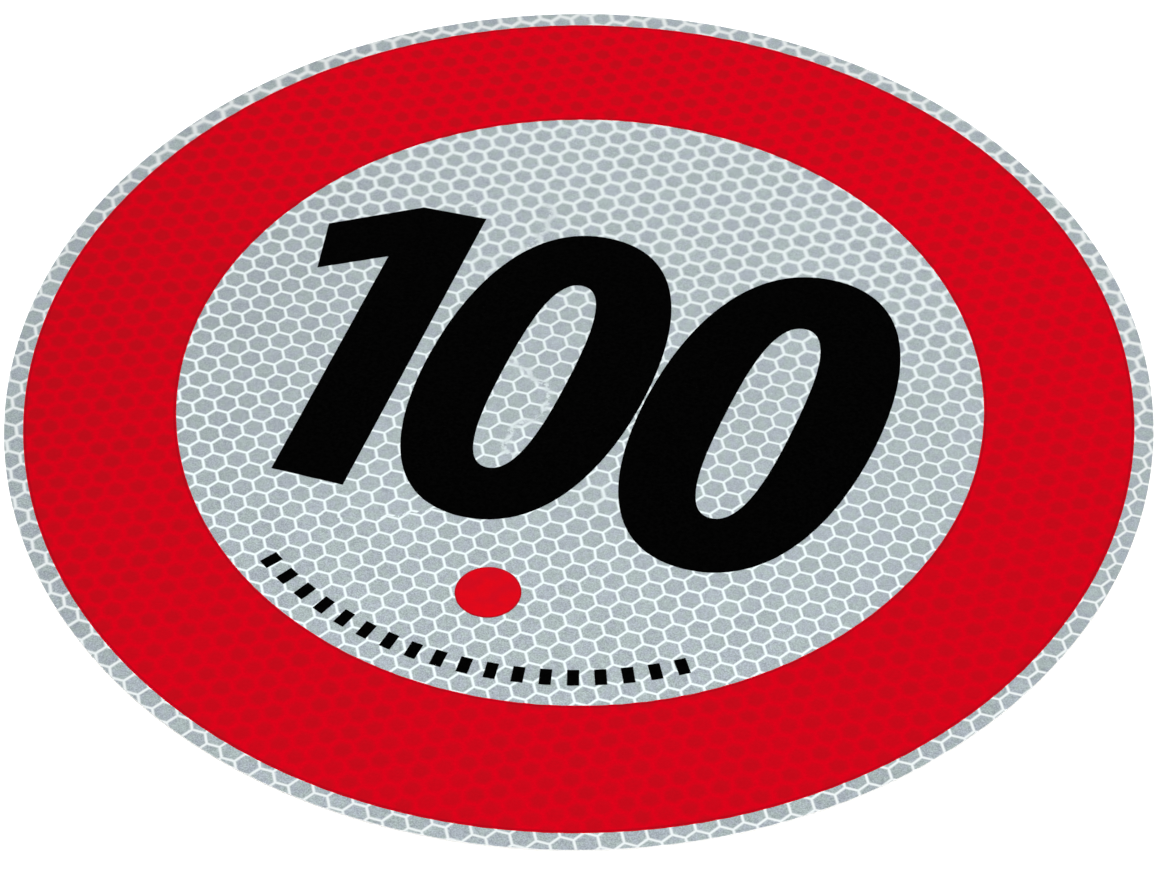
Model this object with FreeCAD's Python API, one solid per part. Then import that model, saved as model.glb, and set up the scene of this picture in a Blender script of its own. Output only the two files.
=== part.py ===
import FreeCAD, Part
import math
import os

# A round speed limit disc of thin adhesive-backed reflective sheeting, for the rear of a vehicle.
# The sheeting is one film with a honeycomb of shallow pressed cells. Each cell is a six-sided
# dish, and its rim is the seal line that it shares with its neighbours. On the film lie thin
# prints: a red ring, three black figures, a red dot and a row of small black bars.
# Frame: the disc lies flat with its origin at the centre of its back, +Z out of its printed
# face, +Y up the figures and +X along the line of figures. Lengths are in millimetres.

# Sheeting
disc_radius = 100.0
film_thickness = 0.40
print_thickness = 0.06

# Honeycomb: cells with level sides, one of them with its centre at honeycomb_x, honeycomb_y
cell_pitch = 3.844
dish_depth = 0.10
honeycomb_x = -0.74
honeycomb_y = -0.79
edge_land = 0.30

# Red ring, inside a narrow white rim
rim_width = 3.3
ring_width = 26.3

# Line of figures: the middle zero sets its place, and the others keep their gaps from it
base_line_y = -33.25
middle_zero_x = -8.33
gap_after_one = 3.55
gap_between_zeros = 0.42

# Figure one: an upright stem with a flag at its top left
one_height = 69.5
one_stem_width = 13.1
one_lean = 0.022
flag_reach = 13.35
flag_drop = 10.05
flag_end_height = 11.3
flag_end_slant = 2.3
shoulder_width = 1.4
shoulder_drop = 0.7
notch_drop = 14.6

# Middle zero: an oval with a narrow oval counter, reaching a little below the base line
middle_zero_width = 39.2
middle_zero_height = 72.1
middle_zero_overshoot = 0.38
middle_zero_lean = 0.051
middle_counter_width = 11.6
middle_counter_height = 47.0

# Last zero: the same form, cut a little larger
last_zero_width = 41.0
last_zero_height = 73.9
last_zero_overshoot = 0.0
last_zero_lean = 0.068
last_counter_width = 12.2
last_counter_height = 48.2

# Both counters sit a little low and to the left in their zeros, and lean a little less
counter_offset_x = -0.28
counter_offset_y = -0.49
counter_less_lean = 0.014

# Fullness of an oval: how far its curve runs straight on from its sides and from its ends
zero_side_fullness = 0.525
zero_end_fullness = 0.73
counter_side_fullness = 0.43
counter_end_fullness = 0.93

# Red dot between the figures and the row of bars, from which it keeps its gap
dot_diameter = 11.0
dot_x = 0.25
gap_below_dot = 8.95

# Row of bars along the bottom of the white field, with angles in degrees
bar_count = 18
bar_width = 2.0
bar_height = 3.3
bar_row_inset = 5.85
bar_row_direction = -90.4
bar_row_angle = 68.7

# Worked out from the sizes above
face_z = film_thickness
ring_outer_radius = disc_radius - rim_width
ring_inner_radius = ring_outer_radius - ring_width
bar_row_radius = ring_inner_radius - bar_row_inset
cell_corner = cell_pitch / math.sqrt(3)
up = FreeCAD.Vector(0, 0, 1)


def facing_up(face):
    """The same face, turned so that its material lies below it."""
    if face.normalAt(0, 0).z < 0:
        face.reverse()
    return face


class Honeycomb:
    """Shallow six-sided dishes, pressed side by side, that share their rims.

    A step is a place on the honeycomb in whole numbers: half a cell corner radius at a time
    along X, and half a pitch at a time along Y. Each vertex and edge is made once and kept,
    so that neighbouring facets meet in the same edge and the pressed face closes by itself.
    """

    corner_steps = [(2, 0), (1, 1), (-1, 1), (-2, 0), (-1, -1), (1, -1)]

    def __init__(self):
        self.vertices = {}
        self.edges = {}
        self.dishes_on_rim = {}

    def place(self, step, depth=0.0):
        x = honeycomb_x + step[0] * cell_corner / 2
        y = honeycomb_y + step[1] * cell_pitch / 2
        return FreeCAD.Vector(x, y, face_z - depth)

    def vertex(self, step, depth=0.0):
        if step not in self.vertices:
            self.vertices[step] = Part.Vertex(self.place(step, depth))
        return self.vertices[step]

    def edge(self, start, end):
        key = (min(start, end), max(start, end))
        if key not in self.edges:
            self.edges[key] = Part.Edge(self.vertex(key[0]), self.vertex(key[1]))
        return self.edges[key]

    def corners(self, centre):
        return [(centre[0] + dx, centre[1] + dy) for dx, dy in self.corner_steps]

    def dish(self, centre):
        """The six facets of one cell, from its rim down to its lowest point."""
        self.vertex(centre, dish_depth)
        corners = self.corners(centre)
        facets = []
        for first, second in zip(corners, corners[1:] + corners[:1]):
            rim = (min(first, second), max(first, second))
            self.dishes_on_rim[rim] = self.dishes_on_rim.get(rim, 0) + 1
            outline = [self.edge(centre, first), self.edge(first, second), self.edge(second, centre)]
            facets.append(facing_up(Part.Face(Part.Wire(outline))))
        return facets

    def borders(self):
        """Closed wires along the rims that have a dish on one side only."""
        neighbours = {}
        for (first, second), dishes in self.dishes_on_rim.items():
            if dishes == 1:
                neighbours.setdefault(first, []).append(second)
                neighbours.setdefault(second, []).append(first)
        wires = []
        while neighbours:
            start = next(iter(neighbours))
            loop = [start]
            here = neighbours.pop(start)[0]
            while here != start:
                ahead = [step for step in neighbours.pop(here) if step != loop[-1]]
                loop.append(here)
                here = ahead[0]
            wires.append(Part.Wire([self.edge(a, b) for a, b in zip(loop, loop[1:] + loop[:1])]))
        return wires


def shows(places):
    """True for a cell that shows in the white field, or lies whole in sight of the white rim."""
    radii = [math.hypot(place.x, place.y) for place in places]
    in_field = min(radii) < ring_inner_radius
    in_rim = max(radii) > ring_outer_radius and max(radii) < disc_radius - edge_land
    return in_field or in_rim


def reflective_sheet():
    """The disc of sheeting: one film, with the cells that show pressed into its face."""
    blank = Part.makeCylinder(disc_radius, film_thickness)
    top = max(blank.Faces, key=lambda face: face.CenterOfMass.z)
    faces = [face for face in blank.Faces if not face.isSame(top)]

    comb = Honeycomb()
    columns = math.ceil(disc_radius / (1.5 * cell_corner)) + 1
    rows = math.ceil(disc_radius / cell_pitch) + 1
    for column in range(-columns, columns + 1):
        for row in range(-rows, rows + 1):
            centre = (3 * column, 2 * row + column % 2)
            if shows([comb.place(step) for step in comb.corners(centre)]):
                faces.extend(comb.dish(centre))

    land = Part.makeFace([top.OuterWire] + comb.borders(), "Part::FaceMakerBullseye")
    faces.extend(facing_up(face) for face in land.Faces)
    return Part.Solid(Part.Shell(faces))


def printed(outline, hole=None):
    """A flat print that lies on the film, from a closed outline and the outline of its hole."""
    face = Part.Face(outline)
    if hole is not None:
        face = face.cut(Part.Face(hole)).Faces[0]
    return face.extrude(up * print_thickness)


def circle(radius, x=0.0, y=0.0):
    return Part.Wire(Part.makeCircle(radius, FreeCAD.Vector(x, y, face_z)))


def red_ring():
    return printed(circle(ring_outer_radius), circle(ring_inner_radius))


def red_dot():
    """The dot, with its gap above the tops of the lowest bars."""
    y = -(bar_row_radius - bar_height / 2) + gap_below_dot + dot_diameter / 2
    return printed(circle(dot_diameter / 2, dot_x, y))


def figure_one():
    """The one, drawn about the foot of its stem and then leaned to the right."""
    right = one_stem_width / 2
    left = -right
    flag_left = left - flag_reach
    flag_top = one_height - flag_drop
    points = [
        (left, 0.0),
        (right, 0.0),
        (right, one_height),
        (left + shoulder_width, one_height - shoulder_drop),
        (flag_left, flag_top),
        (flag_left + flag_end_slant, flag_top - flag_end_height),
        (left, one_height - notch_drop),
    ]
    foot_x = middle_zero_x - middle_zero_width / 2 - gap_after_one - right
    corners = [FreeCAD.Vector(foot_x + x + one_lean * y, base_line_y + y, face_z) for x, y in points]
    return printed(Part.makePolygon(corners + corners[:1]))


def oval(x, y, width, height, side_fullness, end_fullness, lean):
    """A closed outline of four curves that meet at its two sides and its two ends.

    Each curve leaves a side straight up or down and an end straight across, for its share of
    the half height or half width. The whole outline leans to the right as it rises.
    """
    half_width = width / 2
    half_height = height / 2

    def place(dx, dy):
        return FreeCAD.Vector(x + dx + lean * dy, y + dy, face_z)

    quarters = []
    for right, above in [(1, 1), (-1, 1), (-1, -1), (1, -1)]:
        poles = [
            place(right * half_width, 0.0),
            place(right * half_width, above * half_height * side_fullness),
            place(right * half_width * end_fullness, above * half_height),
            place(0.0, above * half_height),
        ]
        curve = Part.BezierCurve()
        curve.setPoles(poles if right == above else poles[::-1])
        quarters.append(curve.toShape())
    return Part.Wire(quarters)


def figure_zero(x, width, height, overshoot, lean, counter_width, counter_height):
    """A zero on the base line: an oval and, a little off its centre, the oval of its counter."""
    y = base_line_y - overshoot + height / 2
    outline = oval(x, y, width, height, zero_side_fullness, zero_end_fullness, lean)
    counter = oval(
        x + counter_offset_x, y + counter_offset_y, counter_width, counter_height,
        counter_side_fullness, counter_end_fullness, lean - counter_less_lean,
    )
    return printed(outline, counter)


def middle_zero():
    return figure_zero(
        middle_zero_x, middle_zero_width, middle_zero_height, middle_zero_overshoot,
        middle_zero_lean, middle_counter_width, middle_counter_height,
    )


def last_zero():
    half_widths = (middle_zero_width + last_zero_width) / 2
    return figure_zero(
        middle_zero_x + half_widths + gap_between_zeros, last_zero_width, last_zero_height,
        last_zero_overshoot, last_zero_lean, last_counter_width, last_counter_height,
    )


def marking_bars():
    """Small upright bars, evenly spaced along an arc about the centre of the disc."""
    bars = []
    for index in range(bar_count):
        direction = bar_row_direction + bar_row_angle * (index / (bar_count - 1) - 0.5)
        bar = Part.makeBox(bar_height, bar_width, print_thickness)
        bar.translate(FreeCAD.Vector(bar_row_radius - bar_height / 2, -bar_width / 2, face_z))
        bar.rotate(FreeCAD.Vector(0, 0, 0), up, direction)
        bars.append(bar)
    return Part.Compound(bars)


nodes = {
    "reflective_sheet": reflective_sheet(),
    "red_ring": red_ring(),
    "figure_one": figure_one(),
    "figure_zero_middle": middle_zero(),
    "figure_zero_last": last_zero(),
    "red_dot": red_dot(),
    "marking_bars": marking_bars(),
}

os.makedirs("parts", exist_ok=True)
for name, shape in nodes.items():
    shape.exportStep("parts/" + name + ".step")
    print(name, len(shape.Solids), "solids,", round(shape.Volume, 2), "cubic millimetres")
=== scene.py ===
import math

import bpy
import numpy as np
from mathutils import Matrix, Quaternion, Vector


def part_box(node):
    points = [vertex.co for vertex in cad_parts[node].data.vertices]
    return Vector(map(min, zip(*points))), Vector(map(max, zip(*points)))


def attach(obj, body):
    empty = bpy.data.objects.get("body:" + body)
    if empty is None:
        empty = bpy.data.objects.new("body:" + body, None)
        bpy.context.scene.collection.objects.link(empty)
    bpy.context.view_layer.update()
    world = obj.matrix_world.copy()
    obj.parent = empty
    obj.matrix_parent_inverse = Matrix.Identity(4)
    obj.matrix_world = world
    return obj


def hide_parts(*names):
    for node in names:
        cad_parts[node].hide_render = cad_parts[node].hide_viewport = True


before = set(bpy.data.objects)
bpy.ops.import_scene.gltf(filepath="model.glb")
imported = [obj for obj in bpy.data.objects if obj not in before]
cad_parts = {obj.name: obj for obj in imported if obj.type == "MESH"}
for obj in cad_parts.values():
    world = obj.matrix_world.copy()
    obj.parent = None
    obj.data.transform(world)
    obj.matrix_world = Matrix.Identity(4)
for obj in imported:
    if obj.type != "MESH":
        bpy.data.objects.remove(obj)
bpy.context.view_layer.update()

# ---------------------------------------------------------------------------------- Camera
# The photographer stood a little to the right of the upright figures, looked down on the disc
# from halfway to overhead, and held the camera tipped by less than half a degree.
camera_aim = Vector((0.00342, -0.00936, 0.00044))
camera_distance = 0.7384
camera_azimuth = math.radians(18.88)
camera_elevation = math.radians(46.94)
camera_tip = math.radians(-0.425)

towards_camera = Vector((
    math.sin(camera_azimuth) * math.cos(camera_elevation),
    -math.cos(camera_azimuth) * math.cos(camera_elevation),
    math.sin(camera_elevation),
))
camera = bpy.data.objects.new("camera", bpy.data.cameras.new("camera"))
camera.data.lens = 132.39
camera.data.sensor_width = 36.0
camera.data.clip_start = 0.02
camera.location = camera_aim + camera_distance * towards_camera
camera.rotation_mode = "QUATERNION"
camera.rotation_quaternion = (-towards_camera).to_track_quat("-Z", "Y") @ Quaternion((0, 0, 1), camera_tip)
bpy.context.scene.collection.objects.link(camera)
bpy.context.scene.camera = camera

# -------------------------------------------------------------------- Reflective sheeting
# The disc itself: one film of white reflective sheeting, die-cut round. Its clear face is sealed
# down on a layer of fine beads along a honeycomb of narrow lines, and between them each cell
# sinks a little. Its back is a flat layer of adhesive.
sheet_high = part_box("reflective_sheet")[1]
disc_radius = sheet_high[0]
face_height = sheet_high[2]
mm = 0.001

cell_pitch = 3.844 * mm
seal_half_width = 0.24 * mm
cell_sink = 0.10 * mm
first_cell = np.array([-0.496, -1.119]) * mm

# How the film lies, a little bent as it left its roll: the shift of a point along X and along Y,
# for each of its x, y, x squared, x times y and y squared, with x and y as shares of the radius
roll_bend = mm * np.array([
    [0.44, 0.15, -0.37, -0.62, -0.23],
    [-0.10, -0.17, 1.85, -0.21, -0.25],
])

# The zeros pressed it aside a little, and once more between their feet: the middle of each place,
# its half sizes and the shift, as x and y each. The shift fades out over aside_fade, up to
# aside_end, as shares of the way out from the middle.
pressed_aside = mm * np.array([
    [-8.3, 2.4, 19.6, 36.0, -0.60, -0.08],
    [32.2, 3.9, 20.5, 37.0, -0.40, 0.33],
    [13.0, -20.0, 8.5, 17.5, 0.36, 0.28],
])
aside_end = 0.97
aside_fade = 0.29

# Where the ends of the pressing belt met, the honeycomb starts anew, as a patch of slightly taller
# cells: its further shift in the same five products, the height at which the shift begins and the
# run over which it grows.
patch_start = mm * np.array([1.00, -1.34])
patch_bend = mm * np.array([
    [-0.02, -0.21, 0.0, -3.15, -5.78],
    [3.72, 3.61, 0.0, -2.75, 1.66],
])
patch_top = 44 * mm
patch_run = 8 * mm

# The joint where the two patterns meet in sight, and the rest of the patch's outline
joint = mm * np.array([
    (-20.6, 43.0), (-19.3, 42.0), (-18.6, 40.6), (-19.0, 38.8), (-18.6, 37.0), (-19.3, 35.2),
    (-19.1, 33.4), (-20.6, 31.2), (-18.0, 20.0), (-15.6, 8.0), (-14.6, 4.2), (-13.2, 3.4),
    (-12.0, 3.2), (-11.2, 2.6), (-10.2, 2.8), (-9.6, 1.8), (-9.0, 0.9), (-6.6, 0.6), (-5.9, 0.3),
    (-5.1, -1.2), (-4.6, -3.2), (-4.3, -5.5), (-5.0, -8.0), (-6.6, -9.3), (-7.8, -10.4),
    (-8.4, -12.0), (-7.9, -14.2), (-8.6, -15.4), (-7.8, -16.9), (-6.2, -17.2), (-5.4, -18.5),
])
patch_outline = np.concatenate([joint, mm * np.array([
    (-6.0, -24.0), (-14.0, -33.0), (-22.0, -38.0), (-31.0, -41.0), (-37.0, -38.0), (-37.5, 30.0),
    (-34.0, 36.0), (-33.0, 42.5),
])])

# The seal lines are worn along the joint, and half as much about two places where the film is rubbed
joint_wear_reach = 0.8 * mm
rubbed_places = mm * np.array([(10.8, -22.0), (-25.3, 25.0)])
rubbed_reach = 3.2 * mm
rubbed_share = 0.5

# The twelve points round a cell, in quarters of its corner radius along X and of its pitch along Y
cell_steps = np.array([
    (4, 0), (3, 1), (2, 2), (0, 2), (-2, 2), (-3, 1),
    (-4, 0), (-3, -1), (-2, -2), (0, -2), (2, -2), (3, -1),
])
step_share = np.array([1 / math.sqrt(48), 1 / 4])


def products(places):
    """x, y, x squared, x times y and y squared of places, with x and y as shares of the radius."""
    x, y = (places / disc_radius).T
    return np.stack([x, y, x * x, x * y, y * y])


def smooth(share):
    """0 up to share 0, 1 from share 1 on, and 3 share^2 - 2 share^3 between them."""
    share = np.clip(share, 0.0, 1.0)
    return share**2 * (3 - 2 * share)


def laid(plain):
    """Where points of the plain honeycomb come to lie on the bent film.

    The shift is the sum of the five products of x and y times roll_bend, and of that of each
    place that is pressed aside, times a share that falls from 1 to 0 over aside_fade.
    """
    places = first_cell + cell_pitch * plain
    shift = (roll_bend @ products(places)).T
    for aside in pressed_aside:
        out = np.hypot(*((places - aside[:2]) / aside[2:4]).T)
        shift += smooth((aside_end - out) / aside_fade)[:, None] * aside[4:]
    return places + shift


def patch_plain(places):
    """The place on the patch's own honeycomb, in pitches, of points on the film.

    It is the point less its shift, which is the bend of the whole film, and the patch's start and
    bend times a share that grows from 0 to 1 over patch_run below its top.
    """
    share = smooth((patch_top - places[:, 1]) / patch_run)[:, None]
    own_shift = share * (patch_start + (patch_bend @ products(places)).T)
    shift = (roll_bend @ products(places)).T + own_shift
    return (places - first_cell - shift) / cell_pitch


def in_patch(places):
    """True inside the patch's outline, which a level line from the place crosses an odd number of times."""
    ahead = np.roll(patch_outline, -1, axis=0)
    x, y = places[:, :1], places[:, 1:2]
    spans = (patch_outline[:, 1] > y) != (ahead[:, 1] > y)
    slant = (ahead[:, 0] - patch_outline[:, 0]) / (ahead[:, 1] - patch_outline[:, 1])
    return (spans & (x < patch_outline[:, 0] + slant * (y - patch_outline[:, 1]))).sum(axis=1) % 2 == 1


def rubbed(places):
    """1 on the joint and 0 far from it: e to the minus square of the distance over its reach.

    About each rubbed place it is rubbed_share of the same curve. The greatest counts.
    """
    run = joint[1:] - joint[:-1]
    from_start = places[:, None, :] - joint[:-1]
    share = np.clip((from_start * run).sum(-1) / (run**2).sum(-1), 0.0, 1.0)
    distance = np.linalg.norm(from_start - share[..., None] * run, axis=-1).min(axis=1)
    spot = np.linalg.norm(places[:, None, :] - rubbed_places, axis=-1).min(axis=1)
    on_joint = np.exp(-(distance / joint_wear_reach) ** 2)
    return np.maximum(on_joint, rubbed_share * np.exp(-(spot / rubbed_reach) ** 2))


def honeycomb_face(lift):
    """Points and triangles of the sealed honeycomb over the whole disc and a little more.

    A cell is three rings about its centre: the middle of its seal line, the edge of the line and
    a rounder ring on the way in. The height falls from the edge of the line by the cell's sink
    times (1 - the square of the share of the way out). In the patch, whose cells lie elsewhere,
    the face stays flat. Each row of the result is x, y, z and the plain place on the honeycomb,
    in pitches. Middles of cells are counted in the quarters of cell_steps.
    """
    far = disc_radius + 2 * cell_pitch
    columns = int(far / (cell_pitch * math.sqrt(3) / 2)) + 1
    levels = int(far / cell_pitch) + 1
    column, level = np.meshgrid(
        np.arange(-columns, columns + 1), np.arange(-levels, levels + 1), indexing="ij"
    )
    middle = np.stack([6 * column, 4 * level + 2 * (column % 2)], axis=-1).reshape(-1, 2)
    middle = middle[np.hypot(*(middle * step_share).T) * cell_pitch < far]
    sinks = cell_sink * np.random.default_rng(11).uniform(0.7, 1.0, len(middle))
    sinks[in_patch(laid(middle * step_share))] = 0.0

    # The middle of the seal line is shared by neighbours, so its points are made once
    around = middle[:, None, :] + cell_steps
    rim, rim_index = np.unique(around.reshape(-1, 2), axis=0, return_inverse=True)
    corner = np.arange(12) % 2 == 0
    edge_share = 1 - 2 * seal_half_width / cell_pitch
    rings = [(rim * step_share, np.zeros(len(rim)))]
    indices = [rim_index.reshape(-1, 12)]
    for share, corner_share in [(edge_share, 0.95), (0.6 * edge_share, 0.90)]:
        reach = share * np.where(corner, corner_share, 1.0)[:, None]
        places = (middle[:, None, :] + reach * cell_steps) * step_share
        drop = sinks * (1 - (share / edge_share) ** 2)
        indices.append(sum(len(ring) for ring, _ in rings) + np.arange(12 * len(middle)).reshape(-1, 12))
        rings.append((places.reshape(-1, 2), np.repeat(drop, 12)))
    centre_index = sum(len(ring) for ring, _ in rings) + np.arange(len(middle)).repeat(12).reshape(-1, 12)
    rings.append((middle * step_share, sinks))

    plain = np.concatenate([ring for ring, _ in rings])
    height = face_height + lift - np.concatenate([drop for _, drop in rings])
    rows = np.column_stack([laid(plain), height, plain])
    triangles = []
    for outer, inner in zip(indices, indices[1:]):
        outer_next, inner_next = np.roll(outer, -1, axis=1), np.roll(inner, -1, axis=1)
        triangles.append(np.stack([outer, outer_next, inner_next], -1))
        triangles.append(np.stack([outer, inner_next, inner], -1))
    triangles.append(np.stack([indices[-1], np.roll(indices[-1], -1, axis=1), centre_index], -1))
    return rows, np.concatenate([group.reshape(-1, 3) for group in triangles])


def cut_round(rows, triangles, radius, centre=(0.0, 0.0), keep_inside=True):
    """Cuts a face along a circle, and keeps what is inside or outside it.

    A triangle with one corner on the kept side keeps a tip, and one with two keeps a quad. The
    new points lie where the edges cross the circle, by linear steps along the edge, and are then
    set on the circle. A point that is nearly on the circle is set on it first, and is kept.
    """
    nearly = 0.02 * mm
    rows = rows.copy()
    arm = rows[:, :2] - centre
    reach = np.hypot(*arm.T)
    near = np.abs(radius - reach) < nearly
    rows[near, :2] = centre + arm[near] * (radius / reach[near])[:, None]
    depth = radius - reach if keep_inside else reach - radius
    depth[near] = nearly
    kept = depth > 0
    count = kept[triangles].sum(axis=1)

    def turned(group, odd):
        """Triangles turned so that their odd corner comes first."""
        order = (np.argmax(odd, axis=1)[:, None] + np.arange(3)) % 3
        return np.take_along_axis(group, order, axis=1)

    tips = turned(triangles[count == 1], kept[triangles[count == 1]])
    stumps = turned(triangles[count == 2], ~kept[triangles[count == 2]])
    crossed = np.concatenate([tips[:, [0, 1]], tips[:, [0, 2]], stumps[:, [0, 1]], stumps[:, [0, 2]]])
    edges, place = np.unique(np.sort(crossed, axis=1), axis=0, return_inverse=True)
    share = depth[edges[:, 0]] / (depth[edges[:, 0]] - depth[edges[:, 1]])
    crossings = rows[edges[:, 0]] + share[:, None] * (rows[edges[:, 1]] - rows[edges[:, 0]])
    arm = crossings[:, :2] - centre
    crossings[:, :2] = centre + arm * (radius / np.hypot(*arm.T))[:, None]
    tip_one, tip_two, stump_one, stump_two = np.split(
        place.reshape(-1) + len(rows), np.cumsum([len(tips), len(tips), len(stumps)])
    )
    triangles = np.concatenate([
        triangles[count == 3],
        np.stack([tips[:, 0], tip_one, tip_two], -1),
        np.stack([stump_one, stumps[:, 1], stumps[:, 2]], -1),
        np.stack([stump_one, stumps[:, 2], stump_two], -1),
    ])
    used, triangles = np.unique(triangles, return_inverse=True)
    return np.concatenate([rows, crossings])[used], triangles.reshape(-1, 3)


def open_edges(triangles):
    """The edges that only one triangle has, each in the direction in which that triangle has it."""
    edges = triangles[:, [0, 1, 1, 2, 2, 0]].reshape(-1, 2)
    _, place, count = np.unique(np.sort(edges, axis=1), axis=0, return_inverse=True, return_counts=True)
    return edges[count[place.reshape(-1)] == 1]


def film_piece(name, rows, triangles, slots, materials):
    """A mesh object from rows of points and triangles, with a material slot for each triangle.

    Each corner of a triangle keeps its place on the honeycomb, or on the patch's own one where
    the middle of the triangle lies in the patch. Each point keeps how much it is rubbed.
    """
    mesh = bpy.data.meshes.new(name)
    mesh.vertices.add(len(rows))
    mesh.vertices.foreach_set("co", rows[:, :3].ravel())
    mesh.loops.add(triangles.size)
    mesh.loops.foreach_set("vertex_index", triangles.astype(np.int32).ravel())
    mesh.polygons.add(len(triangles))
    mesh.polygons.foreach_set("loop_start", np.arange(0, triangles.size, 3, dtype=np.int32))
    mesh.polygons.foreach_set("material_index", slots.astype(np.int32))
    mesh.update(calc_edges=True)
    corners = rows[triangles]
    plain = np.zeros(corners.shape[:2] + (3,))
    plain[..., :2] = corners[..., 3:]
    patched = in_patch(corners[..., :2].mean(axis=1))
    plain[patched, :, :2] = patch_plain(corners[patched][..., :2].reshape(-1, 2)).reshape(-1, 3, 2)
    mesh.attributes.new("honeycomb", "FLOAT_VECTOR", "CORNER").data.foreach_set("vector", plain.ravel())
    mesh.attributes.new("rubbed", "FLOAT", "POINT").data.foreach_set("value", rubbed(rows[:, :2]))
    mesh.shade_smooth()
    mesh.set_sharp_from_angle(angle=math.radians(30))
    for material in materials:
        mesh.materials.append(material)
    piece = bpy.data.objects.new(name, mesh)
    bpy.context.scene.collection.objects.link(piece)
    return piece


def screen_colour(red, green, blue):
    """A colour from its screen values of 0 to 255, by the usual curve for screens."""
    share = np.array([red, green, blue]) / 255
    linear = np.where(share <= 0.04045, share / 12.92, ((share + 0.055) / 1.055) ** 2.4)
    return (*linear.tolist(), 1.0)


def put(tree, kind, sockets=None, **settings):
    """Adds a shader node, makes its settings, and gives each socket a value or a link."""
    node = tree.nodes.new(kind)
    for name, value in settings.items():
        setattr(node, name, value)
    for name, value in (sockets or {}).items():
        if isinstance(value, bpy.types.NodeSocket):
            tree.links.new(value, node.inputs[name])
        else:
            node.inputs[name].default_value = value
    return node


def maths(tree, operation, *values):
    """Values taken together one after the other by Math nodes, as an output to link on."""
    result = values[0]
    for value in values[1:]:
        result = put(tree, "ShaderNodeMath", {0: result, 1: value}, operation=operation).outputs[0]
    return result


def vector_maths(tree, operation, *values, output="Vector"):
    """What a Vector Math node makes of its values, as an output to link on."""
    node = put(tree, "ShaderNodeVectorMath", dict(enumerate(values)), operation=operation)
    return node.outputs[output]


def fade(tree, value, start, end, low=0.0, high=1.0):
    """Turns a value from start to end into low to high, softly at both ends."""
    sockets = {"Value": value, "From Min": start, "From Max": end, "To Min": low, "To Max": high}
    return put(tree, "ShaderNodeMapRange", sockets, interpolation_type="SMOOTHSTEP").outputs["Result"]


def blend_colour(tree, share, first, second, mode="MIX"):
    """Mixes two colours by a share of 0 to 1."""
    node = put(tree, "ShaderNodeMix", {"Factor": share}, data_type="RGBA", blend_type=mode)
    for socket, value in (("A", first), ("B", second)):
        target = next(s for s in node.inputs if s.name == socket and s.type == "RGBA")
        if isinstance(value, bpy.types.NodeSocket):
            tree.links.new(value, target)
        else:
            target.default_value = value
    return next(s for s in node.outputs if s.type == "RGBA")


def group_tree(name, inputs, outputs):
    """An empty node group with float inputs of the given values and the given outputs."""
    tree = bpy.data.node_groups.new(name, "ShaderNodeTree")
    for socket, value in inputs.items():
        item = tree.interface.new_socket(name=socket, in_out="INPUT", socket_type="NodeSocketFloat")
        item.default_value = value
    for socket, kind in outputs.items():
        tree.interface.new_socket(name=socket, in_out="OUTPUT", socket_type="NodeSocket" + kind)
    return tree, tree.nodes.new("NodeGroupInput"), tree.nodes.new("NodeGroupOutput")


def new_finish(name):
    """A material with only its Principled BSDF and output, and its node tree."""
    material = bpy.data.materials.new(name)
    material.use_nodes = True
    return material, material.node_tree, material.node_tree.nodes["Principled BSDF"]


# Where a point lies in its own cell of the honeycomb. The cells' centres are two sets of places
# in straight rows, so the point is wrapped into a box about each set, and the nearer centre is
# its cell's. Line distance is how far it is from the middle of the nearest seal line.
cell_tree, _, result = group_tree(
    "honeycomb cell", {}, {"Line distance": "Float", "Cell tone": "Float", "Second tone": "Float"}
)
plain = put(cell_tree, "ShaderNodeAttribute", attribute_name="honeycomb").outputs["Vector"]
half_box = (math.sqrt(3) / 2, 0.5, 0.5)
minus_half_box = (-math.sqrt(3) / 2, -0.5, -0.5)
own = vector_maths(cell_tree, "WRAP", plain, half_box, minus_half_box)
shifted = vector_maths(cell_tree, "ADD", plain, (math.sqrt(3) / 2, 0.5, 0.0))
other = vector_maths(cell_tree, "WRAP", shifted, half_box, minus_half_box)
own_reach = vector_maths(cell_tree, "LENGTH", own, output="Value")
other_reach = vector_maths(cell_tree, "LENGTH", other, output="Value")
nearer = maths(cell_tree, "LESS_THAN", own_reach, other_reach)
vector_a, vector_b = 4, 5
from_centre = put(
    cell_tree, "ShaderNodeMix", {"Factor": nearer, vector_a: other, vector_b: own}, data_type="VECTOR"
).outputs[1]
centre = vector_maths(cell_tree, "SUBTRACT", plain, from_centre)
centre = vector_maths(cell_tree, "ADD", centre, (math.sqrt(3) / 4, 0.25, 0.25))
centre = vector_maths(cell_tree, "SNAP", centre, half_box)
tone = put(cell_tree, "ShaderNodeTexWhiteNoise", {"Vector": centre}, noise_dimensions="3D")
across = put(cell_tree, "ShaderNodeSeparateXYZ", {0: vector_maths(cell_tree, "ABSOLUTE", from_centre)})
slope = maths(
    cell_tree, "ADD",
    maths(cell_tree, "MULTIPLY", across.outputs["X"], math.sqrt(3) / 2),
    maths(cell_tree, "MULTIPLY", across.outputs["Y"], 0.5),
)
out = maths(cell_tree, "MAXIMUM", slope, across.outputs["Y"])
distance = maths(cell_tree, "MULTIPLY", maths(cell_tree, "SUBTRACT", 0.5, out), cell_pitch)
tone_parts = put(cell_tree, "ShaderNodeSeparateColor", {0: tone.outputs["Color"]})
cell_tree.links.new(distance, result.inputs["Line distance"])
cell_tree.links.new(tone_parts.outputs[0], result.inputs["Cell tone"])
cell_tree.links.new(tone_parts.outputs[1], result.inputs["Second tone"])

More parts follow.
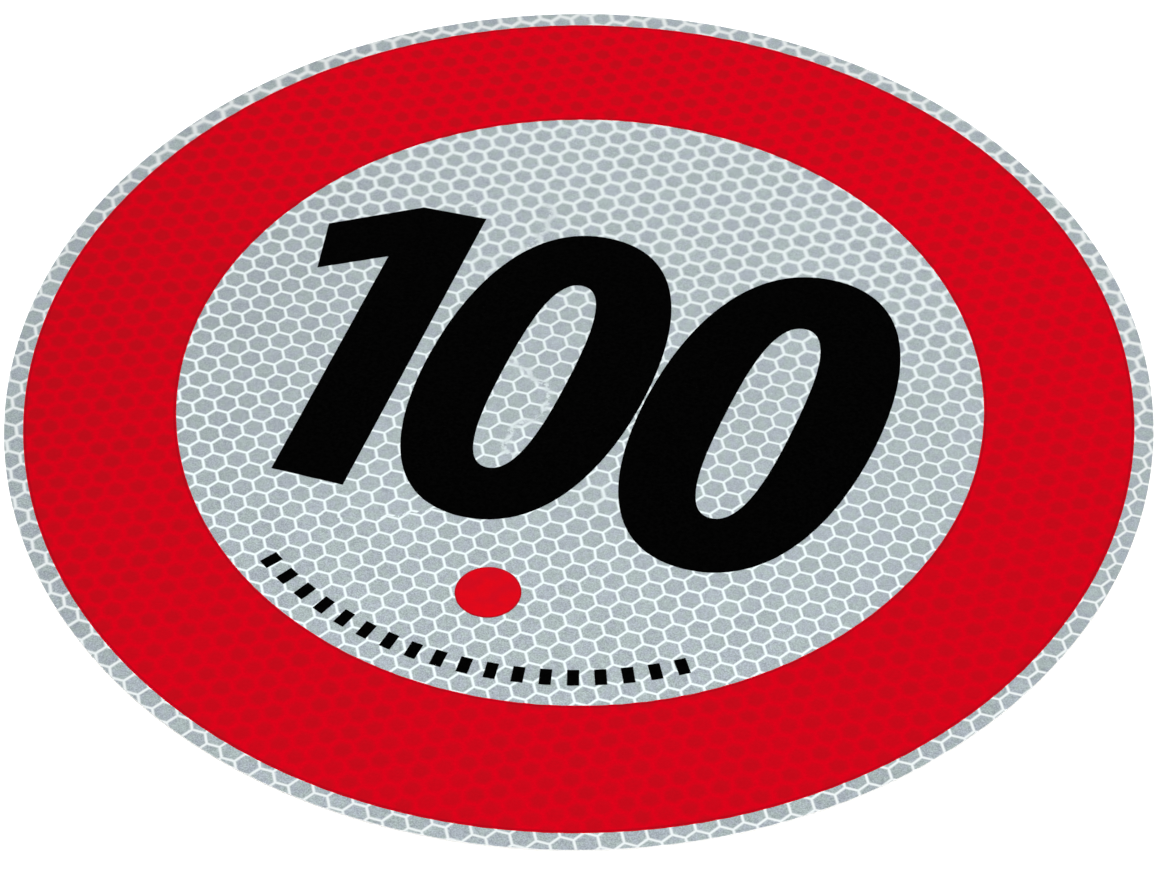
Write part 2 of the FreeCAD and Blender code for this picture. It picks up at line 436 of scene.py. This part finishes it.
# Fine unevenness that every film here has: a grain of the given size, 0 to 1 and mostly about a
# half, and the brightest peaks of a finer one
grain_tree, given, result = group_tree(
    "film grain", {"Size": 0.3 * mm}, {"Grain": "Float", "Sparkle": "Float"}
)
place = put(grain_tree, "ShaderNodeTexCoord").outputs["Object"]
per_size = maths(grain_tree, "DIVIDE", 1.0, given.outputs["Size"])
place = put(grain_tree, "ShaderNodeVectorMath", {0: place, "Scale": per_size}, operation="SCALE").outputs[0]
noise = put(
    grain_tree, "ShaderNodeTexNoise", {"Vector": place, "Scale": 1.0, "Detail": 1.0, "Roughness": 0.6}
)
fine = put(grain_tree, "ShaderNodeTexNoise", {"Vector": place, "Scale": 2.3, "Detail": 0.0})
grain_tree.links.new(noise.outputs[0], result.inputs["Grain"])
grain_tree.links.new(fade(grain_tree, fine.outputs[0], 0.62, 0.78), result.inputs["Sparkle"])


def cell_node(tree):
    """The outputs of a honeycomb cell group."""
    return put(tree, "ShaderNodeGroup", node_tree=cell_tree).outputs


def grain_node(tree, size):
    """The outputs of a film grain group for a grain of this size."""
    return put(tree, "ShaderNodeGroup", {"Size": size}, node_tree=grain_tree).outputs


def seen_from_above(tree, apart, centre=(0.0, 0.0)):
    """How far a place, given as its X, Y and Z, is from a centre when height doesn't count."""
    flat_place = put(tree, "ShaderNodeCombineXYZ", {0: apart["X"], 1: apart["Y"]}).outputs[0]
    return vector_maths(tree, "DISTANCE", flat_place, (*centre, 0.0), output="Value")


def shaded(tree, colour, level):
    """A colour times a level of brightness."""
    grey = put(tree, "ShaderNodeCombineColor", {0: level, 1: level, 2: level}).outputs[0]
    return blend_colour(tree, 1.0, colour, grey, mode="MULTIPLY")


def dress(tree, surface, colour, uneven, roughness, bump, specular):
    """Gives a surface its colour, and a roughness and bump that follow how uneven the film is.

    Roughness is its least and its most, and bump its strength and its height.
    """
    tree.links.new(colour, surface.inputs["Base Color"])
    tree.links.new(fade(tree, uneven, 0.3, 0.7, *roughness), surface.inputs["Roughness"])
    normal = put(tree, "ShaderNodeBump", {"Height": uneven, "Strength": bump[0], "Distance": bump[1]})
    tree.links.new(normal.outputs[0], surface.inputs["Normal"])
    surface.inputs["Specular IOR Level"].default_value = specular


# White sheeting: blue-grey cells of beads with soft spots and fine bright grains, each cell a
# little apart in tint, between pale seal lines that are broader in the upper half of the disc
sheeting_face, tree, surface = new_finish("white sheeting face")
cell, grain = cell_node(tree), grain_node(tree, 0.28 * mm)
cloud = grain_node(tree, 1.5 * mm)["Grain"]
spots = grain_node(tree, 0.8 * mm)["Grain"]
place = put(tree, "ShaderNodeTexCoord").outputs["Object"]
apart = put(tree, "ShaderNodeSeparateXYZ", {0: place}).outputs
in_rim = fade(tree, seen_from_above(tree, apart), 96.6 * mm, 97.0 * mm)

own_tint = maths(tree, "MULTIPLY", maths(tree, "SUBTRACT", cell["Cell tone"], 0.5), 0.14)
tint = fade(tree, maths(tree, "ADD", cloud, own_tint), 0.32, 0.68)
field = blend_colour(tree, tint, screen_colour(170, 183, 183), screen_colour(172, 181, 190))

# How bright the cells are: each cell's own level, the grain, which is weaker above the foot, the
# spots and clouds, a darker edge along the lines, and less light at the left, right and in the rim
grain_level = maths(
    tree, "MULTIPLY",
    fade(tree, grain["Grain"], 0.25, 0.75, -0.23, 0.23),
    fade(tree, apart["Y"], -60 * mm, -15 * mm, 1.0, 0.55),
)
rim_shade = maths(tree, "MULTIPLY", in_rim, fade(tree, apart["X"], -100 * mm, 0.0, 0.0, 0.05))
level = maths(
    tree, "MULTIPLY",
    fade(tree, cell["Second tone"], 0.0, 1.0, 0.96, 1.03),
    maths(tree, "ADD", 0.96, grain_level),
    fade(tree, spots, 0.3, 0.7, 0.94, 1.035),
    fade(tree, cloud, 0.3, 0.7, 1.02, 0.98),
    fade(tree, cell["Line distance"], 0.4 * mm, 1.3 * mm, 0.98, 1.01),
    fade(tree, apart["X"], -75 * mm, -20 * mm, 0.86, 1.0),
    fade(tree, apart["X"], 30 * mm, 90 * mm, 1.0, 0.985),
    fade(tree, apart["Y"], -60 * mm, -20 * mm, 1.01, 1.0),
    maths(tree, "SUBTRACT", 1.0, rim_shade),
)
sparkle = maths(tree, "MULTIPLY", grain["Sparkle"], fade(tree, apart["Y"], -50 * mm, 50 * mm, 0.36, 0.16))
field = shaded(tree, field, maths(tree, "ADD", level, sparkle))

# The seal lines: how far they spread, which is more where they are rubbed, and how much they show
# there, with torn spots of bare film along the joint
worn = put(tree, "ShaderNodeAttribute", attribute_name="rubbed").outputs["Fac"]
spread = maths(
    tree, "ADD",
    fade(tree, apart["Y"], 0.0, 55 * mm, 0.41 * mm, 0.76 * mm),
    maths(
        tree, "ADD",
        fade(tree, apart["X"], -90 * mm, -30 * mm, 0.12 * mm, 0.0), maths(tree, "MULTIPLY", worn, 0.45 * mm),
    ),
)
seal = fade(tree, cell["Line distance"], 0.05 * mm, spread, 1.0, 0.0)
seal = maths(
    tree, "MAXIMUM",
    maths(tree, "MULTIPLY", seal, maths(tree, "SUBTRACT", 1.0, maths(tree, "MULTIPLY", worn, 0.42))),
    maths(tree, "MULTIPLY", fade(tree, worn, 0.45, 0.9), fade(tree, spots, 0.40, 0.60), 0.6),
)
upper = fade(tree, apart["Y"], -60 * mm, 50 * mm)
line = blend_colour(tree, upper, screen_colour(239, 250, 252), screen_colour(225, 234, 235))
line = blend_colour(tree, maths(tree, "MULTIPLY", in_rim, 0.5), line, screen_colour(222, 223, 222))
# Painted light and shade on the lines: a little brighter towards the right, and darker in the rim towards the
# left
line_level = maths(
    tree, "SUBTRACT",
    fade(tree, apart["X"], 10 * mm, 60 * mm, 1.0, 1.03),
    maths(tree, "MULTIPLY", in_rim, fade(tree, apart["X"], -100 * mm, -40 * mm, 0.07, 0.0)),
)
colour = blend_colour(tree, seal, field, shaded(tree, line, line_level))
dress(
    tree, surface, colour, grain["Grain"], roughness=(0.36, 0.46), bump=(0.25, 0.02 * mm), specular=0.06
)

# The knife's cut through the film is almost white
cut_edge, tree, surface = new_finish("cut edge")
grain = grain_node(tree, 0.2 * mm)["Grain"]
uneven = fade(tree, grain, 0.3, 0.7)
colour = blend_colour(tree, uneven, screen_colour(238, 240, 240), screen_colour(252, 252, 252))
tree.links.new(colour, surface.inputs["Base Color"])
surface.inputs["Roughness"].default_value = 0.6

# The back is a layer of clear adhesive over a cream primer, rolled out in faint streaks
adhesive_back, tree, surface = new_finish("adhesive back")
grain = grain_node(tree, 1.6 * mm)
place = put(tree, "ShaderNodeTexCoord").outputs["Object"]
drawn_out = put(tree, "ShaderNodeMapping", {"Vector": place, "Scale": (1 / (3 * mm), 1 / (40 * mm), 1)})
streaks = put(tree, "ShaderNodeTexNoise", {"Vector": drawn_out.outputs[0], "Scale": 1.0, "Detail": 2.0})
uneven = maths(tree, "MULTIPLY", maths(tree, "ADD", grain["Grain"], streaks.outputs[0]), 0.5)
streaked = fade(tree, uneven, 0.28, 0.72)
colour = blend_colour(tree, streaked, screen_colour(206, 204, 190), screen_colour(222, 220, 208))
dress(tree, surface, colour, uneven, roughness=(0.28, 0.42), bump=(0.3, 0.05 * mm), specular=0.5)

# The face, the wall of the cut from its border down to the foot, and the back as a fan of triangles
rows, triangles = cut_round(*honeycomb_face(0.0), disc_radius)
border = open_edges(triangles)
border_points, border_place = np.unique(border, return_inverse=True)
below = len(rows) + border_place.reshape(-1, 2)
foot = rows[border_points].copy()
foot[:, 2] = 0.0
middle_point = np.zeros((1, 5))
middle_index = np.full(len(border), len(rows) + len(foot))
walls = np.concatenate([
    np.stack([below[:, 0], below[:, 1], border[:, 1]], -1),
    np.stack([below[:, 0], border[:, 1], border[:, 0]], -1),
])
back = np.stack([middle_index, below[:, 1], below[:, 0]], -1)
sheeting = film_piece(
    "sheeting", np.concatenate([rows, foot, middle_point]), np.concatenate([triangles, walls, back]),
    np.repeat([0, 1, 2], [len(triangles), len(walls), len(back)]), [sheeting_face, cut_edge, adhesive_back],
)
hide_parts("reflective_sheet")
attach(sheeting, "root")

# ------------------------------------------------------------------------------- Red ring
# The border of the sign: red ink that lets the sheeting through, screen printed on its face. It
# follows the honeycomb, so the seal lines show in it as a brighter red net round darker cells,
# and it is a darker red along its two edges. Its hole is printed a little off centre.
print_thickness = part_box("red_ring")[1][2] - face_height
ring_outer_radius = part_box("red_ring")[1][0]
ring_width = 26.3 * mm
ring_inner_radius = ring_outer_radius - ring_width
ring_inner_centre = (0.26 * mm, 0.0)

red_ink, tree, surface = new_finish("red ink")
cell, grain = cell_node(tree), grain_node(tree, 0.5 * mm)
place = put(tree, "ShaderNodeTexCoord").outputs["Object"]
apart = put(tree, "ShaderNodeSeparateXYZ", {0: place}).outputs
cloud = grain_node(tree, 2.2 * mm)["Grain"]

# The darker blot of ink in each cell: where it starts beside the line, and how deep it is, which
# differs from cell to cell and grows towards the upper left and the left
blot_start = fade(tree, apart["Y"], 10 * mm, 80 * mm, 0.2 * mm, 0.6 * mm)
ragged = maths(tree, "ADD", cell["Line distance"], maths(tree, "MULTIPLY", cloud, 0.6 * mm))
upper_left = fade(tree, maths(tree, "SUBTRACT", apart["Y"], apart["X"]), -110 * mm, 90 * mm, 0.81, 1.0)
depth = maths(
    tree, "ADD",
    maths(tree, "MULTIPLY", fade(tree, cell["Second tone"], 0.0, 1.0, 0.70, 1.0), upper_left),
    fade(tree, apart["X"], -100 * mm, -60 * mm, 0.13, 0.0),
)
blot = maths(tree, "MULTIPLY", fade(tree, ragged, blot_start, 1.45 * mm), depth)
colour = blend_colour(tree, blot, screen_colour(223, 0, 25), screen_colour(191, 10, 25))
speckle = fade(tree, grain["Grain"], 0.3, 0.7, 0.0, 0.19)
colour = blend_colour(tree, speckle, colour, screen_colour(186, 2, 20))
# The ink is darker towards the bottom, and painted shade makes it darker towards the left, where less light
# falls
level = maths(
    tree, "MULTIPLY",
    fade(tree, apart["Y"], -40 * mm, 80 * mm, 0.94, 1.0),
    fade(tree, apart["X"], -100 * mm, -60 * mm, 0.975, 1.0),
)
colour = shaded(tree, colour, level)

# The darker red band along the edges, from 0.05 to 0.65 mm in from either of them
to_edge = maths(
    tree, "MINIMUM",
    maths(tree, "SUBTRACT", ring_outer_radius, seen_from_above(tree, apart)),
    maths(tree, "SUBTRACT", seen_from_above(tree, apart, ring_inner_centre), ring_inner_radius),
)
ink_edge = maths(
    tree, "MULTIPLY",
    fade(tree, to_edge, 0.05 * mm, 0.3 * mm), fade(tree, to_edge, 0.35 * mm, 0.65 * mm, 1.0, 0.0), 0.55,
)
colour = blend_colour(tree, ink_edge, colour, screen_colour(150, 6, 24))
dress(
    tree, surface, colour, grain["Grain"], roughness=(0.36, 0.46), bump=(0.2, 0.02 * mm), specular=0.02
)

# The face over the sheeting's own, the same face under it, and the two walls between them
rows, triangles = cut_round(*honeycomb_face(print_thickness), ring_outer_radius)
rows, triangles = cut_round(rows, triangles, ring_inner_radius, ring_inner_centre, keep_inside=False)
border = open_edges(triangles)
count = len(rows)
under = rows.copy()
under[:, 2] -= print_thickness
walls = np.concatenate([
    np.stack([border[:, 0] + count, border[:, 1] + count, border[:, 1]], -1),
    np.stack([border[:, 0] + count, border[:, 1], border[:, 0]], -1),
])
red_ring = film_piece(
    "ring_print", np.concatenate([rows, under]),
    np.concatenate([triangles, walls, triangles[:, ::-1] + count]),
    np.zeros(2 * len(triangles) + len(walls)), [red_ink],
)
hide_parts("red_ring")
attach(red_ring, "root")

# -------------------------------------------------------------------------------- Figures
# The value: a one and two zeros, each cut by a knife from solid black film and pressed on the
# sheeting. Where the knife passed, the film's upper edge is a little rounded.
base_line = -33.25 * mm
middle_zero_x = -8.33 * mm
middle_zero_width = 39.2 * mm
last_zero_width = 41.0 * mm
gap_after_one = 3.55 * mm
gap_between_zeros = 0.42 * mm
cut_rounding = 0.02 * mm


def around_oval(x, y, width, height, side_fullness, end_fullness, lean, points=40):
    """Points round an oval, anticlockwise from its right side.

    It is four cubic curves. One that leaves the right side at height 0 and comes to the top at
    width 0 has, at share t, the width (1 - t)^3 + 3 t (1 - t)^2 + 3 t^2 (1 - t) end_fullness and
    the height 3 t (1 - t)^2 side_fullness + 3 t^2 (1 - t) + t^3, as shares of the half sizes.
    """
    t = np.arange(points) / points
    wide = (1 - t) ** 3 + 3 * t * (1 - t) ** 2 + 3 * t**2 * (1 - t) * end_fullness
    tall = 3 * t * (1 - t) ** 2 * side_fullness + 3 * t**2 * (1 - t) + t**3
    back_wide = np.append(wide, 0.0)[:0:-1]
    back_tall = np.append(tall, 1.0)[:0:-1]
    dx = np.concatenate([wide, -back_wide, -wide, back_wide]) * width / 2
    dy = np.concatenate([tall, back_tall, -tall, -back_tall]) * height / 2
    return np.stack([x + dx + lean * dy, y + dy], -1)


def outward(outline):
    """The mitred outward direction at each point of a closed outline that runs anticlockwise.

    It is the sum of the directions square to the two edges there, over 1 + their product.
    """
    edge = np.roll(outline, -1, axis=0) - outline
    edge = edge / np.linalg.norm(edge, axis=1)[:, None]
    after = np.stack([edge[:, 1], -edge[:, 0]], -1)
    before = np.roll(after, 1, axis=0)
    return (before + after) / (1 + (before * after).sum(axis=1))[:, None]


def cut_film(name, outline, material, hole=None):
    """A piece of film from its closed anticlockwise outline, and that of its hole if it has one.

    The outline is carried up the wall and over a small round edge as three rings, and the last
    ring closes in a face, or in a strip that joins it ring by ring to the hole.
    """
    rings = [(0.0, 0.0), (0.0, print_thickness - cut_rounding), (cut_rounding, print_thickness)]
    points, faces = [], []

    def wall(outline, turn):
        """Adds the wall of an outline, or of a hole with turn -1, and returns its two end rings."""
        start = len(points)
        out = outward(outline) * turn
        for inset, height in rings:
            ring = outline - inset * out
            points.extend(np.column_stack([ring, np.full(len(ring), face_height + height)]).tolist())
        loops = [start + k * len(outline) + np.arange(len(outline)) for k in range(len(rings))]
        for low, high in zip(loops, loops[1:]):
            sides = np.stack([low, np.roll(low, -1), np.roll(high, -1), high], -1)[:, ::turn]
            faces.extend(sides.tolist())
        return loops[0], loops[-1]

    low, high = wall(outline, 1)
    if hole is None:
        faces.extend([high.tolist(), low[::-1].tolist()])
    else:
        hole_low, hole_high = wall(hole, -1)
        top = np.stack([high, np.roll(high, -1), np.roll(hole_high, -1), hole_high], -1)
        under = np.stack([low, np.roll(low, -1), np.roll(hole_low, -1), hole_low], -1)[:, ::-1]
        faces.extend(top.tolist() + under.tolist())

    mesh = bpy.data.meshes.new(name)
    mesh.from_pydata(points, [], faces)
    mesh.update()
    mesh.shade_smooth()
    mesh.set_sharp_from_angle(angle=math.radians(25))
    mesh.materials.append(material)
    piece = bpy.data.objects.new(name, mesh)
    bpy.context.scene.collection.objects.link(piece)
    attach(piece, "root")
    return piece


# Black film with a few grey specks of dust
black_film, tree, surface = new_finish("black film")
grain = grain_node(tree, 0.6 * mm)
place = put(tree, "ShaderNodeTexCoord").outputs["Object"]
dust = put(tree, "ShaderNodeTexVoronoi", {"Vector": place, "Scale": 110.0})
speck = fade(tree, dust.outputs["Distance"], 0.012, 0.03, 1.0, 0.0)
uneven = fade(tree, grain["Grain"], 0.3, 0.7)
colour = blend_colour(tree, uneven, screen_colour(0, 0, 0), screen_colour(3, 3, 3))
colour = blend_colour(tree, maths(tree, "MULTIPLY", speck, 0.5), colour, screen_colour(30, 30, 31))
dress(
    tree, surface, colour, grain["Grain"], roughness=(0.40, 0.50), bump=(0.2, 0.02 * mm), specular=0.004
)

# The one, about the middle of its foot: the foot, up the stem's right side to the top, down the
# flag and back to the stem. The whole outline then leans to the right.
half_stem = 6.51 * mm
one_lean = 0.0215
foot_x = middle_zero_x - middle_zero_width / 2 - gap_after_one - half_stem
upright_x, upright_y = mm * np.array([
    (-6.51, -0.1), (6.51, 0.1), (6.65, 69.5), (-5.15, 68.8), (-19.9, 59.45), (-17.6, 48.2), (-6.6, 54.9),
]).T
one_outline = np.column_stack([foot_x + upright_x + one_lean * upright_y, base_line + upright_y])
one = cut_film("one", one_outline, black_film)
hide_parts("figure_one")

# A zero's outline and counter, each with its fullness at the sides and at the ends. The counter
# sits a little low and to the left, and leans a little less.
outline_fullness = (0.525, 0.73)
counter_fullness = (0.43, 0.93)
counter_shift = (-0.28 * mm, -0.49 * mm)
counter_less_lean = 0.014


def zero(name, x, width, height, foot, lean, counter_width, counter_height):
    """A zero whose lowest point is at the height of foot."""
    y = foot + height / 2
    outline = around_oval(x, y, width, height, *outline_fullness, lean)
    counter = around_oval(
        x + counter_shift[0], y + counter_shift[1], counter_width, counter_height,
        *counter_fullness, lean - counter_less_lean,
    )
    return cut_film(name, outline, black_film, hole=counter)


# The middle zero reaches a little below the base line, and the last one stops a little above it
middle_zero = zero(
    "middle_zero", middle_zero_x, middle_zero_width, height=72.1 * mm, foot=base_line - 0.38 * mm,
    lean=0.051, counter_width=11.6 * mm, counter_height=47.0 * mm,
)
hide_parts("figure_zero_middle")
last_zero_x = middle_zero_x + (middle_zero_width + last_zero_width) / 2 + gap_between_zeros
last_zero = zero(
    "last_zero", last_zero_x, last_zero_width, height=73.9 * mm, foot=base_line + 0.18 * mm,
    lean=0.068, counter_width=12.2 * mm, counter_height=48.2 * mm,
)
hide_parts("figure_zero_last")

# -------------------------------------------------------------------------------- Red dot
# A small round of solid red film under the figures, cut and pressed on like them. It has no
# honeycomb in it, and its rim is a little darker.
dot_centre = Vector((0.25, -48.3, 0)) * mm
dot_radius = 5.6 * mm

red_film, tree, surface = new_finish("red film")
grain = grain_node(tree, 0.5 * mm)
place = put(tree, "ShaderNodeTexCoord").outputs["Object"]
cloud = put(tree, "ShaderNodeTexNoise", {"Vector": place, "Scale": 330.0, "Detail": 1.0}).outputs[0]
colour = blend_colour(tree, fade(tree, cloud, 0.3, 0.7), screen_colour(205, 4, 26), screen_colour(222, 0, 20))
speckle = fade(tree, grain["Grain"], 0.3, 0.7, 0.0, 0.12)
colour = blend_colour(tree, speckle, colour, screen_colour(180, 4, 24))
apart = put(tree, "ShaderNodeSeparateXYZ", {0: place}).outputs
from_middle = seen_from_above(tree, apart, dot_centre[:2])
dot_rim = fade(tree, from_middle, 5.2 * mm, 5.55 * mm, 0.0, 0.55)
colour = blend_colour(tree, dot_rim, colour, screen_colour(140, 4, 22))
dress(
    tree, surface, colour, grain["Grain"], roughness=(0.36, 0.46), bump=(0.2, 0.02 * mm), specular=0.05
)

turn = np.arange(120) / 120 * 2 * math.pi
dot_outline = np.stack([
    dot_centre.x + dot_radius * np.cos(turn), dot_centre.y + dot_radius * np.sin(turn),
], -1)
dot = cut_film("dot", dot_outline, red_film)
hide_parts("red_dot")

# --------------------------------------------------------------------------- Marking bars
# A row of small upright bars in the black of the figures, printed along the foot of the white
# field where such a disc has its line of small marks.
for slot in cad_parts["marking_bars"].material_slots:
    slot.material = black_film

# ------------------------------------------------------------------------ Floor and light
# A white studio sweep: the floor runs level to 2.2 m and then curves up into a low wall. It is seen
# from above only, so that a camera below looks through it at the back of the disc, and the lamp
# there lights the back through it. Where it is seen it glows a little, so that it shows pure white.


def seen_ray(tree, path):
    """1 for a ray that brings the surface into the picture, directly or in a mirror or glass."""
    return maths(tree, "MAXIMUM", path["Is Camera Ray"], path["Is Glossy Ray"], path["Is Transmission Ray"])


sweep_white, tree, surface = new_finish("studio white")
surface.inputs["Base Color"].default_value = screen_colour(243, 243, 243)
surface.inputs["Roughness"].default_value = 0.9
surface.inputs["Specular IOR Level"].default_value = 0.0
surface.inputs["Emission Color"].default_value = (1, 1, 1, 1)
path = put(tree, "ShaderNodeLightPath").outputs
tree.links.new(maths(tree, "MULTIPLY", seen_ray(tree, path), 0.35), surface.inputs["Emission Strength"])
behind = put(tree, "ShaderNodeNewGeometry").outputs["Backfacing"]
through = put(tree, "ShaderNodeMixShader", {
    0: maths(tree, "MAXIMUM", behind, path["Is Shadow Ray"]),
    1: surface.outputs[0],
    2: put(tree, "ShaderNodeBsdfTransparent").outputs[0],
})
tree.links.new(through.outputs[0], tree.nodes["Material Output"].inputs["Surface"])

# The sweep's profile turned about the centre: level just below the disc, then a quarter round,
# then the wall
floor_drop = 0.0002
around = 96
turn = np.arange(around) / around * 2 * math.pi
bend = np.linspace(0, math.pi / 2, 13)
reach = np.concatenate([[0.0, 0.4, 1.0], 2.2 + 0.3 * np.sin(bend), [2.5]])
height = np.concatenate([[0.0, 0.0, 0.0], 0.3 * (1 - np.cos(bend)), [0.6]]) - floor_drop
grid = np.stack([
    reach[:, None] * np.cos(turn), reach[:, None] * np.sin(turn), height[:, None] + 0 * turn,
], -1)
index = np.arange(grid.shape[0] * around).reshape(-1, around)
ahead = np.roll(index, -1, axis=1)
quads = np.stack([index[1:-1], index[2:], ahead[2:], ahead[1:-1]], -1).reshape(-1, 4)
mesh = bpy.data.meshes.new("sweep")
mesh.from_pydata(grid.reshape(-1, 3).tolist(), [], quads.tolist() + [index[1].tolist()])
mesh.shade_smooth()
mesh.materials.append(sweep_white)
sweep = bpy.data.objects.new("sweep", mesh)
bpy.context.scene.collection.objects.link(sweep)

# The room is dim where it only lights the disc, and white where it is seen
world = bpy.data.worlds.new("studio")
world.use_nodes = True
tree = world.node_tree
room = tree.nodes["Background"].inputs
room["Color"].default_value = (1, 1, 1, 1)
path = put(tree, "ShaderNodeLightPath").outputs
tree.links.new(fade(tree, seen_ray(tree, path), 0.0, 1.0, 0.12, 1.0), room["Strength"])
bpy.context.scene.world = world

# Soft lamps over the disc, and one under the floor that lights only the back of the disc: name,
# azimuth and elevation in degrees, distance and width in metres, and watts
for name, azimuth, elevation, distance, width, power in [
    ("key", 65, 58, 1.5, 0.9, 11.4),
    ("fill", -60, 60, 1.5, 0.9, 8.3),
    ("top", -90, 80, 1.7, 0.8, 6.9),
    ("under", 30, -70, 1.4, 0.9, 12),
]:
    turn, rise = math.radians(azimuth), math.radians(elevation)
    away = Vector((math.sin(turn) * math.cos(rise), -math.cos(turn) * math.cos(rise), math.sin(rise)))
    lamp = bpy.data.lights.new(name, "AREA")
    lamp.shape = "DISK"
    lamp.size = width
    lamp.energy = power
    lamp_object = bpy.data.objects.new(name, lamp)
    lamp_object.location = away * distance
    lamp_object.rotation_euler = (-away).to_track_quat("-Z", "Y").to_euler()
    bpy.context.scene.collection.objects.link(lamp_object)

bpy.context.scene.view_settings.view_transform = "Standard"
